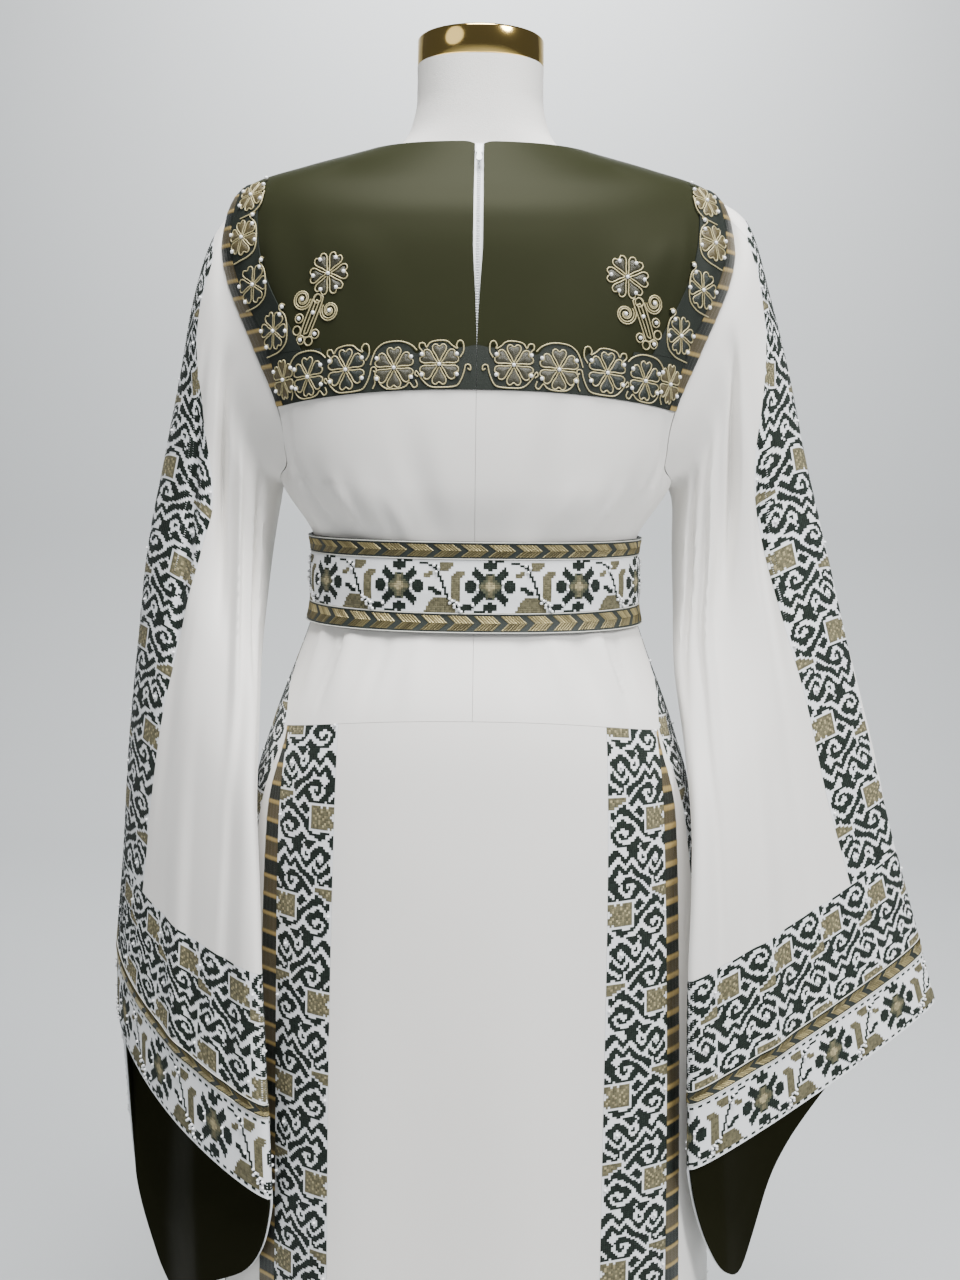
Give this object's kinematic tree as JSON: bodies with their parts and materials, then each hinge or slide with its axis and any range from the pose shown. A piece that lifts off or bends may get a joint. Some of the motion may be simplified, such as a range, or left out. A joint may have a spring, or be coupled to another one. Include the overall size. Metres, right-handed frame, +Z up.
{
  "type": "embroidered thobe on a dress form",
  "caption": "Long white thobe with an olive satin yoke, cross-stitched bands, wide bell sleeves and its own belt, worn on a limbless dress form.",
  "frame": {"origin": "centre of the stand base's underside, on the floor", "axes": "+Z up, +X to the wearer's right, -Y behind the garment, whose back faces -Y"},
  "size_m": [0.7975, 0.4009, 1.516],
  "materials": {
    "white_crepe": "warm white crepe, matt with a faint sheen",
    "cross_stitch": "white ground close covered with dark green and khaki cross-stitch",
    "striped_ribbon": "woven ribbon of dark green blocks and gold bars",
    "chevron_ribbon": "dark green ribbon with metallic gold chevrons",
    "olive_satin": "dark olive satin, smooth with a soft sheen",
    "couched_border": "dark green ground with couched gold cord, beads and stones",
    "zip_tape": "white woven tape",
    "zip_metal": "white enamel",
    "form_linen": "off-white linen cover, matt",
    "gold": "polished gold",
    "stand_metal": "dark grey powder coat"
  },
  "bodies": {
    "gown": {"back_bodice_left": "white_crepe", "back_bodice_right": "white_crepe", "basque_back_left": "white_crepe", "basque_back_right": "white_crepe", "skirt_gore_left": "white_crepe", "skirt_gore_right": "white_crepe", "sleeve_back_left": "white_crepe", "sleeve_back_right": "white_crepe", "sleeve_front_left": "white_crepe", "sleeve_front_right": "white_crepe", "sleeve_cap_left": "white_crepe", "sleeve_cap_right": "white_crepe", "front_bodice": "white_crepe", "skirt_back": "white_crepe", "skirt_front": "white_crepe", "skirt_band_back_left": "cross_stitch", "skirt_band_back_right": "cross_stitch", "skirt_band_front_left": "cross_stitch", "skirt_band_front_right": "cross_stitch", "sleeve_band_left": "cross_stitch", "sleeve_band_right": "cross_stitch", "cuff_band_left": "cross_stitch", "cuff_band_right": "cross_stitch", "cuff_hem_left": "cross_stitch", "cuff_hem_right": "cross_stitch", "belt_band": "cross_stitch", "skirt_ribbon_left": "striped_ribbon", "skirt_ribbon_right": "striped_ribbon", "armhole_ribbon_left": "striped_ribbon", "armhole_ribbon_right": "striped_ribbon", "cuff_ribbon_left": "chevron_ribbon", "cuff_ribbon_right": "chevron_ribbon", "belt_ribbon_lower": "chevron_ribbon", "belt_ribbon_upper": "chevron_ribbon", "back_yoke_left": "olive_satin", "back_yoke_right": "olive_satin", "sleeve_lining_left": "olive_satin", "sleeve_lining_right": "olive_satin", "front_yoke": "olive_satin", "yoke_border_hem_left": "couched_border", "yoke_border_hem_right": "couched_border", "yoke_border_side_left": "couched_border", "yoke_border_side_right": "couched_border", "zip_tape": "zip_tape", "zip_slider": "zip_metal", "form_torso": "form_linen", "form_cap": "gold", "stand_pole": "stand_metal", "stand_base": "stand_metal"},
    "zip_pull": {"zip_pull": "zip_metal"}
  },
  "joints": [
    {"name": "pull_tab_swing", "type": "hinge", "parent": "gown", "child": "zip_pull", "pos_m": [0, -0.0823, 1.40621], "axis": [-1, 0, 0], "range_deg": [0, 150]}
  ]
}
